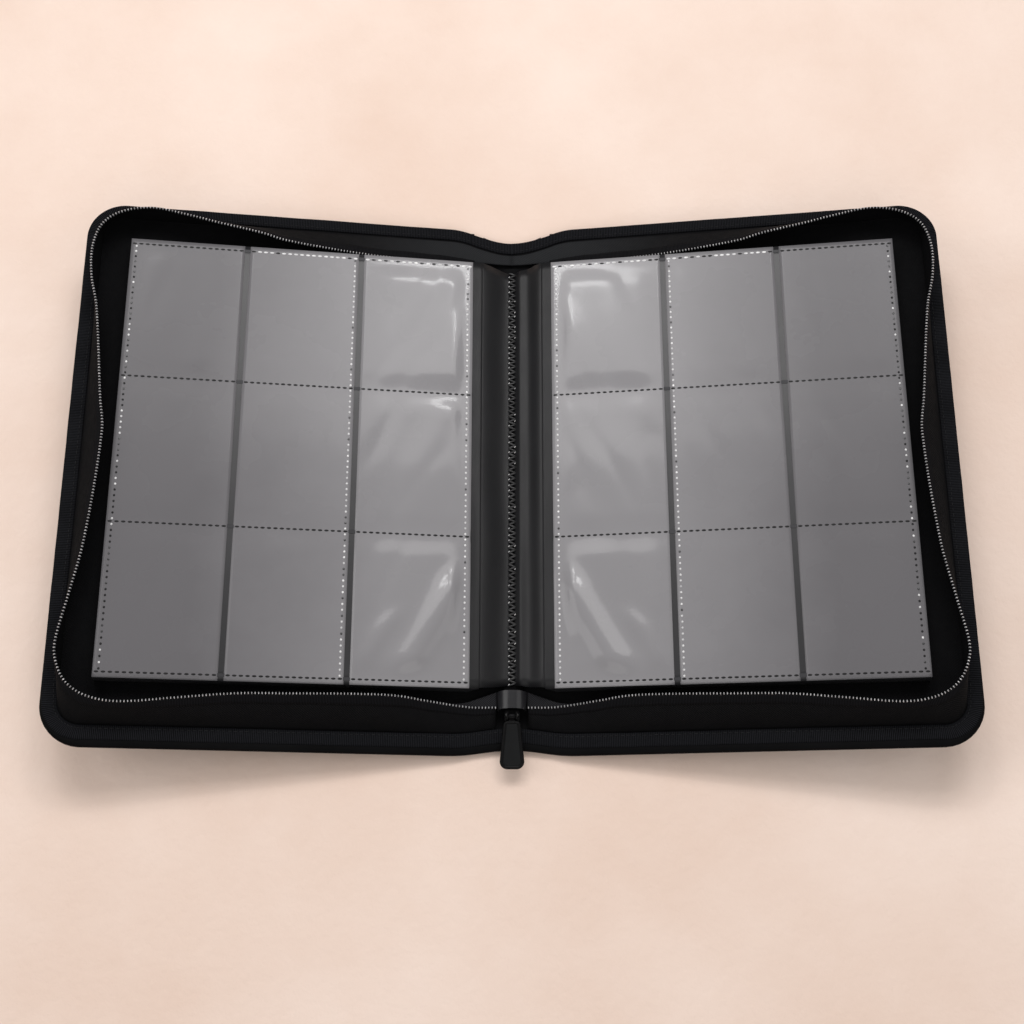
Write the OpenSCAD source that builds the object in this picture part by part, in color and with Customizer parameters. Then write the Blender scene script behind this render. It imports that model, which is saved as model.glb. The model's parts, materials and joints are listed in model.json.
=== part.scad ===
// Zip-up nine-pocket card binder, lying open on its spine.
// X runs across the open book, Y along the spine and Z up from the table.
// The front cover is on the left (-X) and the back cover on the right (+X).

/* [Pages] */
// Width of one card pocket
pocket_w = 74; // [60:1:90]
// Height of one card pocket
pocket_h = 96; // [80:1:120]
// Number of pocket columns and rows on a page
pockets = 3; // [3]
// Number of leaves on each side of the fold
leaf_count = 10; // [10]
// Thickness of a pocket leaf with its pockets pressed flat
leaf_t = 0.75; // [0.5:0.05:0.8]
// Distance from one leaf to the next
leaf_pitch = 1.15; // [1.1:0.05:1.4]
// Width of the plain strip between the fold axis and the pockets
gutter_w = 8; // [8:0.5:14]
// How much further out each lower leaf starts
leaf_step = 0.7; // [0.7:0.05:0.75]
// Gap from the fold axis to the top leaf's inner edge
leaf_start = 1.5; // [1.5:0.1:1.7]
// Thickness of the top leaf's backing sheet
backing_t = 0.35; // [0.25:0.05:0.4]
// Height of the space that a card slides into
pocket_gap = 0.35; // [0.3:0.05:0.4]
// Thickness of the clear pocket film
film_t = 0.25; // [0.15:0.05:0.3]
// Width of the open strip that cards are slid in from
slot_w = 3.5; // [2.5:0.5:5]
// Width of a welded seam
weld_w = 1.2; // [0.8:0.2:2]
// Distance from the page edge to its welded seam
weld_inset = 3.4; // [2:0.2:5]

/* [Cover] */
// Clear distance from the pages' top edge to the cover's edge
head_margin = 30; // [28:1:40]
// Clear distance from the pages' bottom edge to the cover's edge
foot_margin = 39; // [36:1:46]
// Distance from the closed pages' outer edge to the cover's edge
fore_margin = 21; // [20:1:30]
// Outer radius of the cover's corners
corner_r = 25; // [20:1:34]
// Slope of the open covers and pages above the table
open_tilt = 8.4; // [7:0.2:9]
// Thickness of the outer skin
skin_t = 1.2; // [0.8:0.1:1.6]
// Thickness of the foam padding
foam_t = 1.2; // [0.8:0.2:2]
// Thickness of the stiffening board
board_t = 2; // [1.5:0.1:2.4]
// Thickness of the lining cloth
lining_t = 0.6; // [0.4:0.1:0.8]
// Width of the skin's turned-up rim
rim_w = 2; // [1.5:0.25:3]

/* [Spine] */
// Distance between the two cover hinge lines
spine_w = 50; // [50:1:60]
// Space between the spine's layers and a closed cover
hinge_clear = 0.3; // [0.3:0.05:0.5]
// Gap between the two skins at a hinge line
skin_gap = 0.5; // [0.5:0.1:0.8]
// How far the head end of the spine is drawn in between the covers
head_dip = 9.5; // [6:0.5:9.5]
// How far the foot end of the spine is drawn in between the covers
foot_dip = 3.5; // [2:0.5:3.5]
// Distance from a cover hinge line to the fold axis of the leaves
fold_inset = 5.5; // [5.4:0.1:6]
// Clearance between the lining and the lowest leaf
leaf_clear = 0.45; // [0.45:0.05:0.7]
// Width of the sewn fold of the leaves
fold_w = 14; // [10:0.5:14]
// Height of the sewn fold of the leaves
fold_h = 2.6; // [2:0.1:2.8]
// Width of the zigzag stitching on the fold
stitch_w = 5; // [3:0.5:6]
// Thickness of the stitching thread
thread_t = 0.8; // [0.5:0.1:1]

/* [Binding and gusset] */
// Width of the woven binding tape
tape_w = 12; // [10:0.5:12]
// Thickness of the binding tape
tape_t = 0.8; // [0.6:0.1:1]
// Height of the gusset wall above the lining
gusset_h = 18.3; // [15:0.1:18.3]
// Thickness of the gusset cloth
gusset_t = 1; // [0.8:0.1:1.2]
// Distance from the hinge line to the ends of a cover's gusset
gusset_start = 17; // [17:0.5:24]
// Height of the row of zip teeth
teeth_h = 1.4; // [1:0.1:1.4]
// Width that the teeth stand proud of the gusset on each side
teeth_proud = 0.4; // [0.2:0.1:0.6]

/* [Zip slider] */
// Height of the zip line above the lining at the foot of the spine
zip_rise = 7.5; // [6:0.5:8]
// Radius of the zip's end cap
cap_r = 9; // [7:0.5:9]
// Length of the zip's end cap
cap_l = 11; // [9:0.5:12]
// Gap between the pages and the end cap
cap_gap = 1; // [0.6:0.1:2]
// Width of the slider body
slider_w = 9; // [7:0.5:10]
// Length of the slider body
slider_l = 7; // [6:0.5:8]
// Thickness of the slider body
slider_t = 3.2; // [2.6:0.1:3.6]
// Running gap between the slider and its neighbours
slider_gap = 0.4; // [0.3:0.1:0.8]
// Length of the pull from its pin to its tip
pull_l = 31.5; // [26:0.5:36]
// Width of the pull at its neck and at its tip
pull_neck_w = 10.4; // [8:0.2:12]
pull_tip_w = 14.8; // [12:0.2:16]
// Thickness of the pull
pull_t = 3; // [2:0.2:3.4]
// Slope of the resting pull below the horizontal
pull_drop = 10; // [6:1:12]
// Radius of the pin that the pull swings on
pin_r = 0.9; // [0.7:0.1:1]
// Clearance between the pin and the pull's eye
pin_clear = 0.1; // [0.05:0.05:0.2]

/* [Hidden] */
$fn = 48;

// Layer heights measured from the hinge axis, which lies mid-way in the skin
skin_top = skin_t / 2;
foam_top = skin_top + foam_t;
board_top = foam_top + board_t;
lining_top = board_top + lining_t;
tape_top = lining_top + tape_t;
hinge_x = spine_w / 2;
hinge_z = skin_t / 2;
table_lining_z = hinge_z + lining_top;
table_tape_z = hinge_z + tape_top;
spine_half = hinge_x - tape_top - hinge_clear;
cover_start = skin_top + skin_gap;

// Leaves: the fold axis lies beside the hinge line, just over the lining
page_w = pockets * pocket_w;
page_h = pockets * pocket_h;
fold_x = hinge_x - fold_inset;
fold_z = hinge_z + (lining_top + leaf_clear - fold_inset * sin(open_tilt)) / cos(open_tilt);
leaf_l = gutter_w + page_w;
top_leaf_w = (leaf_count - 1) * leaf_pitch;
film_z = backing_t + pocket_gap;

// Cover outline
cover_w = fold_z - hinge_z + leaf_l + fore_margin;
cover_h = page_h + head_margin + foot_margin;
page_y = (foot_margin - head_margin) / 2;
page_foot = page_y - page_h / 2;

// Gusset: the free edge stands this far inward of its sewn edge at each station
foot_end_lean = 9;
foot_mid_lean = 14;
foot_corner_lean = 4;
low_side_lean = -5;
mid_side_lean = 10;
high_side_lean = -3;
head_corner_lean = 1;
head_mid_lean = 11;
head_end_lean = 12;
gusset_foot_w = tape_top + 0.2;
gusset_top_w = lining_top + gusset_h;
run_steps = 14;
side_steps = 18;
corner_steps = 7;
inner_r = corner_r - tape_w;

// Zip parts at the foot of the spine
zip_z = table_lining_z + zip_rise;
cap_back = page_foot - cap_gap;
slider_back = cap_back - cap_l - slider_gap;
slider_front = slider_back - slider_l;
slider_bottom = zip_z - slider_t;
bridge_h = 3.4;
cheek_t = 1;
eye_r = 2;
eye_w = 4;
side_gap = 0.3;
pin_y = slider_front + 2.6;
pin_z = zip_z + bridge_h / 2 + 0.6;
pull_tip_y = pin_y - pull_l * cos(pull_drop);
gore_half = spine_half - 0.7;
gore_slot = slider_w / 2 + side_gap;
gore_gap = 0.7;
page_head = page_foot + page_h;
head_gore_tip = page_head + gore_gap;
foot_gore_tip = cover_h / 2 - tape_w - 11.5;
dip_half_w = 30;
dip_steps = 24;

// The whole box is centred on the origin, so the book sits back by half the overhang
pull_overhang = -pull_tip_y - cover_h / 2;
book_y = pull_overhang / 2;

function pad(n) = n < 10 ? str("0", n) : str(n);

LEAVES = [for (side = ["left", "right"]) for (n = [1:leaf_count]) str(side, "_leaf_", pad(n))];

// ---- frames ----

// Places a spine piece
module on_spine() {
    translate([0, book_y, 0]) children();
}

// Draws a right-hand piece on the right, or its mirror image on the left
module on_side(side) {
    if (side == "right") children();
    else mirror([1, 0, 0]) children();
}

// X runs out along the cover from the hinge line and Z up from the hinge axis
module on_cover(side) {
    on_side(side)
        translate([hinge_x, book_y, hinge_z])
            rotate([0, -open_tilt, 0])
                children();
}

// X runs out along the leaves from their fold axis and Z up from the lowest leaf
module on_leaves(side) {
    on_side(side)
        translate([fold_x, book_y, fold_z])
            rotate([0, -open_tilt, 0])
                children();
}

// ---- cover ----

// Outline of a cover with its outer corners rounded, drawn in from the edge by inset
module cover_outline(inset, start) {
    r = corner_r - inset;
    w = cover_w - inset;
    half = cover_h / 2 - inset;
    translate([start, -half]) square([w - r - start, 2 * half]);
    translate([start, -half + r]) square([w - start, 2 * (half - r)]);
    for (y = [-half + r, half - r])
        translate([w - r, y]) circle(r = r, $fn = 96);
}

module cover_layer(low, high, inset) {
    translate([0, 0, low])
        linear_extrude(high - low) cover_outline(inset, cover_start);
}

module cover_skin(side) {
    color([0.07, 0.07, 0.08]) on_cover(side) {
        difference() {
            cover_layer(-skin_t / 2, lining_top, 0);
            translate([0, 0, skin_top])
                linear_extrude(lining_top) cover_outline(rim_w, cover_start - 1);
        }
    }
}

module cover_foam(side) {
    color([0.35, 0.35, 0.37]) on_cover(side) cover_layer(skin_top, foam_top, rim_w);
}

module cover_board(side) {
    color([0.55, 0.5, 0.42]) on_cover(side) cover_layer(foam_top, board_top, rim_w);
}

module cover_lining(side) {
    color([0.11, 0.11, 0.12]) on_cover(side) cover_layer(board_top, lining_top, rim_w);
}

module binding(side) {
    color([0.05, 0.05, 0.06]) on_cover(side)
        translate([0, 0, lining_top])
            linear_extrude(tape_t)
                difference() {
                    cover_outline(0, cover_start);
                    cover_outline(tape_w, cover_start - 1);
                }
}

// ---- gusset and zip teeth ----

// Eases from v0 to v1 at half-way and on to v2 as t goes from 0 to 1
function ease(t, v0, v1, v2) = t < 0.5
    ? v0 + (v1 - v0) * (1 - cos(360 * t)) / 2
    : v1 + (v2 - v1) * (1 - cos(360 * (t - 0.5))) / 2;

// A station holds [along, across, inward x, inward y, lean]
edge_x = cover_w - tape_w;
edge_y = cover_h / 2 - tape_w;
run_l = edge_x - inner_r - gusset_start;
foot_run = [
    for (i = [0:run_steps - 1])
        let (t = i / run_steps)
        [gusset_start + run_l * t, -edge_y, 0, 1,
         ease(t, foot_end_lean, foot_mid_lean, foot_corner_lean)]
];
foot_corner = [
    for (i = [0:corner_steps - 1])
        let (t = i / corner_steps, q = -90 + 90 * t)
        [edge_x - inner_r + inner_r * cos(q), -edge_y + inner_r + inner_r * sin(q), -cos(q), -sin(q),
         foot_corner_lean + (low_side_lean - foot_corner_lean) * t]
];
side_run = [
    for (i = [0:side_steps - 1])
        let (t = i / side_steps)
        [edge_x, (2 * t - 1) * (edge_y - inner_r), -1, 0,
         ease(t, low_side_lean, mid_side_lean, high_side_lean)]
];
head_corner = [
    for (i = [0:corner_steps - 1])
        let (t = i / corner_steps, q = 90 * t)
        [edge_x - inner_r + inner_r * cos(q), edge_y - inner_r + inner_r * sin(q), -cos(q), -sin(q),
         high_side_lean + (head_corner_lean - high_side_lean) * t]
];
head_run = [
    for (i = [0:run_steps])
        let (t = i / run_steps)
        [edge_x - inner_r - run_l * t, edge_y, 0, -1,
         ease(t, head_corner_lean, head_mid_lean, head_end_lean)]
];
STATIONS = concat(foot_run, foot_corner, side_run, head_corner, head_run);

// Sweeps a closed section along the stations; each corner is [inward, share of the lean, height]
module sweep_section(section) {
    n = len(section);
    rows = len(STATIONS);
    points = [
        for (s = STATIONS)
            for (c = section)
                let (d = c[0] + c[1] * s[4])
                [s[0] + s[2] * d, s[1] + s[3] * d, c[2]]
    ];
    walls = [
        for (i = [0:rows - 2])
            for (j = [0:n - 1])
                let (k = (j + 1) % n)
                each [
                    [i * n + j, i * n + k, (i + 1) * n + k],
                    [i * n + j, (i + 1) * n + k, (i + 1) * n + j]
                ]
    ];
    first = [for (j = [0:n - 1]) n - 1 - j];
    last = [for (j = [0:n - 1]) (rows - 1) * n + j];
    polyhedron(points, concat(walls, [first, last]), convexity = 8);
}

module gusset(side) {
    color([0.13, 0.13, 0.14]) on_cover(side)
        sweep_section([
            [0, 0, lining_top],
            [0, 0, gusset_foot_w],
            [0, 1, gusset_top_w],
            [gusset_t, 1, gusset_top_w],
            [gusset_t, 0, gusset_foot_w],
            [gusset_t, 0, lining_top]
        ]);
}

module zip_teeth(side) {
    color([0.75, 0.75, 0.77]) on_cover(side)
        sweep_section([
            [-teeth_proud, 1, gusset_top_w],
            [-teeth_proud, 1, gusset_top_w + teeth_h],
            [gusset_t + teeth_proud, 1, gusset_top_w + teeth_h],
            [gusset_t + teeth_proud, 1, gusset_top_w]
        ]);
}

// ---- spine ----

// How far an end of the book is drawn in at x, where depth is how far at the spine's middle
function end_dip(x, depth) = depth * (1 + cos(180 * x / dip_half_w)) / 2;

// Outline of the spine with both ends drawn in, each end inset from the cover's edge
module spine_outline(half, inset) {
    steps = [for (i = [0:dip_steps]) half * (2 * i / dip_steps - 1)];
    polygon(concat(
        [for (x = steps) [x, -cover_h / 2 + inset + end_dip(x, foot_dip)]],
        [for (x = steps) [-x, cover_h / 2 - inset - end_dip(x, head_dip)]]
    ));
}

module spine_layer(low, high) {
    translate([0, 0, hinge_z + low])
        linear_extrude(high - low) spine_outline(spine_half, rim_w);
}

module spine_skin() {
    color([0.07, 0.07, 0.08]) on_spine() {
        linear_extrude(skin_t) spine_outline(hinge_x - skin_gap, 0);
        linear_extrude(table_lining_z)
            difference() {
                spine_outline(spine_half, 0);
                spine_outline(spine_half + 1, rim_w);
            }
    }
}

module spine_foam() {
    color([0.35, 0.35, 0.37]) on_spine() spine_layer(skin_top, foam_top);
}

module spine_board() {
    color([0.55, 0.5, 0.42]) on_spine() spine_layer(foam_top, board_top);
}

module spine_lining() {
    color([0.11, 0.11, 0.12]) on_spine() spine_layer(board_top, lining_top);
}

// Binding tape across one end of the spine: end is 1 at the head and -1 at the foot
module spine_binding(end) {
    color([0.05, 0.05, 0.06]) on_spine()
        translate([0, 0, table_lining_z])
            linear_extrude(tape_t)
                intersection() {
                    difference() {
                        spine_outline(spine_half, 0);
                        spine_outline(spine_half + 1, tape_w);
                    }
                    translate([-spine_half, end > 0 ? 0 : -cover_h]) square([2 * spine_half, cover_h]);
                }
}

// Slanted cloth at one end of the spine, from x_in to x_out on both sides, up to tip
module spine_gusset(end, dip, tip, x_in, x_out) {
    foot = cover_h / 2 - tape_w - dip;
    profile = [
        [foot, table_lining_z],
        [foot, table_lining_z + gusset_t],
        [tip, zip_z + gusset_t],
        [tip, zip_z],
        [foot - gusset_t, table_lining_z]
    ];
    color([0.13, 0.13, 0.14]) on_spine()
        for (x = [-x_out, x_in])
            translate([x, 0, 0])
                rotate([90, 0, 90])
                    linear_extrude(x_out - x_in)
                        polygon([for (p = profile) [end * p[0], p[1]]]);
}

module spine_gusset_head() {
    spine_gusset(1, head_dip, head_gore_tip, 0, gore_half);
}

module spine_gusset_foot() {
    spine_gusset(-1, foot_dip, foot_gore_tip, gore_slot, gore_half);
}

// The bundle of leaves folded down the middle and sewn to the spine
module page_fold() {
    crown = fold_h * 0.6;
    color([0.12, 0.12, 0.13]) on_spine()
        translate([0, page_head, table_lining_z])
            rotate([90, 0, 0])
                linear_extrude(page_h)
                    polygon([
                        [-fold_w / 2, 0], [fold_w / 2, 0], [fold_w / 2, crown],
                        [stitch_w / 2, fold_h], [-stitch_w / 2, fold_h], [-fold_w / 2, crown]
                    ]);
}

module fold_stitching() {
    color([0.3, 0.3, 0.32]) on_spine()
        translate([-stitch_w / 2, page_foot, table_lining_z + fold_h])
            cube([stitch_w, page_h, thread_t]);
}

// ---- zip end cap, slider and pull ----

module zip_end_cap() {
    wall = 1.2;
    body_z = zip_z - cap_r / 2;
    color([0.2, 0.2, 0.21]) on_spine()
        intersection() {
            translate([0, cap_back, body_z])
                rotate([90, 0, 0])
                    difference() {
                        cylinder(r = cap_r, h = cap_l);
                        translate([0, 0, wall]) cylinder(r = cap_r - wall, h = cap_l);
                    }
            translate([-cap_r, cap_back - cap_l, table_lining_z])
                cube([2 * cap_r, cap_l, 3 * cap_r]);
        }
}

module zip_slider_body() {
    nose_r = 1.5;
    guide_h = 1;
    color([0.09, 0.09, 0.1]) on_spine()
        translate([0, slider_front, slider_bottom])
            difference() {
                union() {
                    translate([-slider_w / 2 + nose_r, 0, 0])
                        cube([slider_w - 2 * nose_r, slider_l, slider_t]);
                    translate([-slider_w / 2, nose_r, 0])
                        cube([slider_w, slider_l - 2 * nose_r, slider_t]);
                    for (x = [-1, 1], y = [nose_r, slider_l - nose_r])
                        translate([x * (slider_w / 2 - nose_r), y, 0])
                            cylinder(r = nose_r, h = slider_t);
                }
                for (x = [-slider_w / 2 - 1, slider_w / 2 - guide_h])
                    translate([x, -1, (slider_t - guide_h) / 2])
                        cube([guide_h + 1, slider_l + 2, guide_h]);
            }
}

module zip_slider_bridge() {
    cheek_x = eye_w / 2 + side_gap;
    color([0.09, 0.09, 0.1]) on_spine() {
        for (x = [-cheek_x - cheek_t, cheek_x])
            translate([x, slider_front + 0.6, zip_z])
                cube([cheek_t, slider_l - 2.4, pin_z - zip_z + pin_r + 0.5]);
        translate([-cheek_x - cheek_t / 2, pin_y, pin_z])
            rotate([0, 90, 0])
                cylinder(r = pin_r, h = 2 * cheek_x + cheek_t);
    }
}

// The pull lies along -Y from its pin and slopes down over the binding
module zip_pull() {
    grip_start = 5;
    tip_r = 4;
    bevel = 0.5;
    border = 1.6;
    grip_l = pull_l - grip_start;
    color([0.04, 0.04, 0.05]) on_spine()
        translate([0, pin_y, pin_z])
            rotate([pull_drop, 0, 0])
                difference() {
                    union() {
                        translate([-eye_w / 2, 0, 0]) rotate([0, 90, 0]) cylinder(r = eye_r, h = eye_w);
                        translate([-eye_w / 2, -grip_start - 1, -pull_t / 4])
                            cube([eye_w, grip_start + 1, pull_t / 2]);
                        translate([0, 0, -pull_t / 2]) linear_extrude(pull_t) grip_outline(0);
                    }
                    translate([0, 0, pull_t / 2 - bevel]) linear_extrude(pull_t) grip_outline(border);
                    translate([-eye_w, 0, 0])
                        rotate([0, 90, 0])
                            cylinder(r = pin_r + pin_clear, h = 2 * eye_w);
                }
    module grip_outline(inset) {
        neck = pull_neck_w / 2 - inset;
        tip = pull_tip_w / 2 - inset;
        r = tip_r - inset;
        end = -pull_l + inset;
        polygon([
            [-neck, -grip_start - inset], [-tip, end + r], [-tip + r, end],
            [tip - r, end], [tip, end + r], [neck, -grip_start - inset]
        ]);
        for (x = [-tip + r, tip - r])
            translate([x, end + r]) circle(r = r);
    }
}

// ---- leaves ----

// A leaf below the top one, its pockets pressed flat, with the two slots pressed in
module plain_leaf(n) {
    start = leaf_start + (n - 1) * leaf_step;
    base = (leaf_count - n) * leaf_pitch;
    slot_depth = 0.15;
    translate([0, page_y - page_h / 2, base])
        difference() {
            translate([start, 0, 0]) cube([leaf_l - start, page_h, leaf_t]);
            for (c = [1:pockets - 1])
                translate([gutter_w + c * pocket_w - slot_w / 2, -1, leaf_t - slot_depth])
                    cube([slot_w, page_h + 2, 1]);
        }
}

module leaf(side, n) {
    color([0.3, 0.3, 0.31]) on_leaves(side) {
        if (n == 1)
            translate([leaf_start, page_y - page_h / 2, top_leaf_w])
                cube([leaf_l - leaf_start, page_h, backing_t]);
        else plain_leaf(n);
    }
}

// Clear film over each pocket column, open along the slots
module page_film(side) {
    color([0.5, 0.5, 0.52]) on_leaves(side)
        for (c = [0:pockets - 1])
            let (
                low = gutter_w + c * pocket_w + (c == 0 ? 0 : slot_w / 2),
                high = gutter_w + (c + 1) * pocket_w - (c == pockets - 1 ? 0 : slot_w / 2)
            )
            translate([low, page_y - page_h / 2, top_leaf_w + film_z])
                cube([high - low, page_h, film_t]);
}

// Welded seams that join the film to the backing sheet
module page_welds(side) {
    inner_slot = gutter_w + pocket_w;
    outer_slot = gutter_w + 2 * pocket_w;
    page_end = gutter_w + page_w;
    half_slot = slot_w / 2;
    rows = [
        for (r = [0:pockets])
            r == 0 ? weld_inset : r == pockets ? page_h - weld_inset - weld_w : r * pocket_h - weld_w / 2
    ];
    columns = [
        [gutter_w, inner_slot - half_slot],
        [inner_slot + half_slot, outer_slot - half_slot],
        [outer_slot + half_slot, page_end]
    ];
    sides = [
        gutter_w + weld_inset,
        inner_slot + half_slot + weld_inset - weld_w,
        page_end - weld_inset - weld_w
    ];
    color([0.42, 0.42, 0.44]) on_leaves(side)
        translate([0, page_y - page_h / 2, top_leaf_w + backing_t]) {
            for (y = rows, c = columns)
                translate([c[0], y, 0]) cube([c[1] - c[0], weld_w, pocket_gap]);
            for (x = sides)
                translate([x, weld_inset, 0]) cube([weld_w, page_h - 2 * weld_inset, pocket_gap]);
        }
}

spine_skin();
spine_foam();
spine_board();
spine_lining();
spine_binding(1);  // spine_binding_head
spine_binding(-1);  // spine_binding_foot
spine_gusset_head();
spine_gusset_foot();
page_fold();
fold_stitching();
zip_end_cap();
zip_slider_body();
zip_slider_bridge();
zip_pull();
cover_skin("left");  // front_cover_skin
cover_foam("left");  // front_cover_foam
cover_board("left");  // front_cover_board
cover_lining("left");  // front_cover_lining
binding("left");  // front_binding
gusset("left");  // front_gusset
zip_teeth("left");  // front_zip_teeth
cover_skin("right");  // back_cover_skin
cover_foam("right");  // back_cover_foam
cover_board("right");  // back_cover_board
cover_lining("right");  // back_cover_lining
binding("right");  // back_binding
gusset("right");  // back_gusset
zip_teeth("right");  // back_zip_teeth
page_film("left");  // left_page_film
page_welds("left");  // left_page_welds
page_film("right");  // right_page_film
page_welds("right");  // right_page_welds
for (side = ["left", "right"], n = [1:leaf_count])
    leaf(side, n);
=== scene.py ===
import json
import math
import random

import bpy
import bmesh
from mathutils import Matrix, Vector, noise


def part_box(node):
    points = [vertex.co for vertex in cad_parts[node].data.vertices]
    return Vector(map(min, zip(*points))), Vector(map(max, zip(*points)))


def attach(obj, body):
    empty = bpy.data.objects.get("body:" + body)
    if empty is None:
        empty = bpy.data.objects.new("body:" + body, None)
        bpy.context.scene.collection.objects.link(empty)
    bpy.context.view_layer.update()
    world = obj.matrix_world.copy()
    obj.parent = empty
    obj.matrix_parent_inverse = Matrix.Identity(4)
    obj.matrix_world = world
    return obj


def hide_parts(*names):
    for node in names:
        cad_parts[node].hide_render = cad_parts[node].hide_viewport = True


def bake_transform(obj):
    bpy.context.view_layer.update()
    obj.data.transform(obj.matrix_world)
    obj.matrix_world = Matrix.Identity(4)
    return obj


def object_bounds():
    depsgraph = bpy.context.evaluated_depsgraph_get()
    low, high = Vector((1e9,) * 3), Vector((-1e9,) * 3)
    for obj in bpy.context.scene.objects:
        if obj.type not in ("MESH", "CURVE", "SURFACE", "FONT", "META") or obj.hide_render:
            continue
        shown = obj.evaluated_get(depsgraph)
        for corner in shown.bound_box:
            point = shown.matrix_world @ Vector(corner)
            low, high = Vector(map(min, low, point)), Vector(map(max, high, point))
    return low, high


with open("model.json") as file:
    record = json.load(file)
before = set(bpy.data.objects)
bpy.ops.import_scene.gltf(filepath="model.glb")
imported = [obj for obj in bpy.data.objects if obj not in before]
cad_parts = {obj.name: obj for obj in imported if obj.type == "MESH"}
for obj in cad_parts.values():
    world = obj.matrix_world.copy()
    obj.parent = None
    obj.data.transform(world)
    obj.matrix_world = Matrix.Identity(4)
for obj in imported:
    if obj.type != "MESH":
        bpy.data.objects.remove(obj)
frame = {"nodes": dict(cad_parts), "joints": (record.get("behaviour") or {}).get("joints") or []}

CAD_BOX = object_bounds()
MM = 0.001

# ---- sizes read from the frame ----

JOINTS = {j["name"]: j for j in frame["joints"]}
HINGE = [v / MM for v in JOINTS["back_cover_hinge"]["pos_m"]]
FOLD = [v / MM for v in JOINTS["right_leaves_close"]["pos_m"]]
LEAF_AXIS = [v / MM for v in JOINTS["right_leaves_turn"]["pos_m"]]
TILT = math.radians(90 - JOINTS["back_cover_hinge"]["range_deg"][1])
HINGE_X, BOOK_Y, HINGE_Z = HINGE
FOLD_X, FOLD_Z = FOLD[0], FOLD[2]
PAGE_Y = FOLD[1] - BOOK_Y


def span(node, axis):
    """Length of a CAD node's box along one axis."""
    low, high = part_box(node)
    return (high[axis] - low[axis]) / MM


BOOK_H = span("front_cover_skin", 1)
PAGE_H = span("left_leaf_01", 1)
COVER_W = (CAD_BOX[1].x / MM - HINGE_X) / math.cos(TILT)

# ---- sizes of the soft pieces ----

LINING_W = 4.4
TAPE_TOP = 5.2
TAPE_CLEAR = 0.3
CORNER_R = 25
HALF_W = HINGE_X + COVER_W
HALF_H = BOOK_H / 2
HEAD_DIP = 9.5
FOOT_DIP = 3.5
HEAD_DIP_HALF_W = 42
FOOT_DIP_HALF_W = 40

POCKET_W = 74
POCKET_H = 96
GUTTER_W = 8
SLOT_W = 3.5
PAGE_END = GUTTER_W + 3 * POCKET_W
SHEET_TOP = 10.7
WELD_INSET = 3.4

TOOTH_PITCH = 2.0
# Across the coil, then half the tooth's length along the zip and its height there
TOOTH_SHAPE = ((-0.7, 0.18, 0.4), (-0.5, 0.3, 0.75), (0, 0.33, 1.05), (0.5, 0.3, 0.75), (0.7, 0.18, 0.4))
RIB_PITCH = 1.1
DOT_PITCH = 3.7
DASH_PITCH = 3.95
GORE_END = 46
POST_X = 3.1
LINING_TRIM = 2.3
SKIN_SEAM = 6.2
SKIN_SEAM_W = -0.15
FOLD_HALF_W = 6.6
FOLD_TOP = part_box("page_fold")[1].z / MM
# How far along the gusset the painted highlight at the head of the spine begins and is full, in metres
HEAD_LIT_FROM, HEAD_LIT_TO = 0.71, 0.82
# Distances from the spine at which the film's painted highlight is least and greatest, in metres
FILM_LEAST_LIT_X, FILM_MOST_LIT_X = 0.215, 0.055


# ---- places ----

def smooth(t):
    t = min(1.0, max(0.0, t))
    return t * t * (3 - 2 * t)


def mix(a, b, t):
    return a + (b - a) * t


def side_sign(side):
    return 1 if side == "right" else -1


def cover_name(side):
    return "front" if side == "left" else "back"


def turn(count):
    """Angles of count even steps round a circle."""
    return [2 * math.pi * k / count for k in range(count)]


def on_book(side, a, y, w):
    """A point at distance a from the spine's middle, w above the hinge axis."""
    u = a - HINGE_X
    flat = (a, HINGE_Z + w)
    tilted = (
        HINGE_X + u * math.cos(TILT) - w * math.sin(TILT),
        HINGE_Z + u * math.sin(TILT) + w * math.cos(TILT),
    )
    t = smooth((a - HINGE_X + 5) / 10)
    x = mix(flat[0], tilted[0], t)
    return Vector((side_sign(side) * x, y + BOOK_Y, mix(flat[1], tilted[1], t)))


def on_leaves(side, u, y, w):
    """A point u out from the fold axis, y from the page's middle and w above the lowest leaf."""
    x = FOLD_X + u * math.cos(TILT) - w * math.sin(TILT)
    z = FOLD_Z + u * math.sin(TILT) + w * math.cos(TILT)
    return Vector((side_sign(side) * x, y + BOOK_Y + PAGE_Y, z))


def page_up(side):
    """The direction square to the pages."""
    return Vector((-side_sign(side) * math.sin(TILT), 0, math.cos(TILT)))


STRAIGHT = HALF_W - CORNER_R
ARC = math.pi / 2 * CORNER_R
SIDE = BOOK_H - 2 * CORNER_R
EDGE_L = 2 * STRAIGHT + 2 * ARC + SIDE


def dip(a, depth, half_w):
    """How far an end of the book is drawn in at a from the spine's middle."""
    if a >= half_w:
        return 0.0
    return depth * (1 + math.cos(math.pi * a / half_w)) / 2


def foot_dip(a):
    return dip(a, FOOT_DIP, FOOT_DIP_HALF_W)


def head_dip(a):
    return dip(a, HEAD_DIP, HEAD_DIP_HALF_W)


def edge(s, inset):
    """A point on the cover's outline, s along it from the foot of the spine, drawn in by inset."""
    if s <= STRAIGHT:
        return s, -HALF_H + inset + foot_dip(s)
    s -= STRAIGHT
    if s <= ARC:
        q = s / CORNER_R - math.pi / 2
        r = CORNER_R - inset
        return STRAIGHT + r * math.cos(q), -HALF_H + CORNER_R + r * math.sin(q)
    s -= ARC
    if s <= SIDE:
        return HALF_W - inset, -HALF_H + CORNER_R + s
    s -= SIDE
    if s <= ARC:
        q = s / CORNER_R
        r = CORNER_R - inset
        return STRAIGHT + r * math.cos(q), HALF_H - CORNER_R + r * math.sin(q)
    a = STRAIGHT - (s - ARC)
    return a, HALF_H - inset - head_dip(a)


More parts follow.
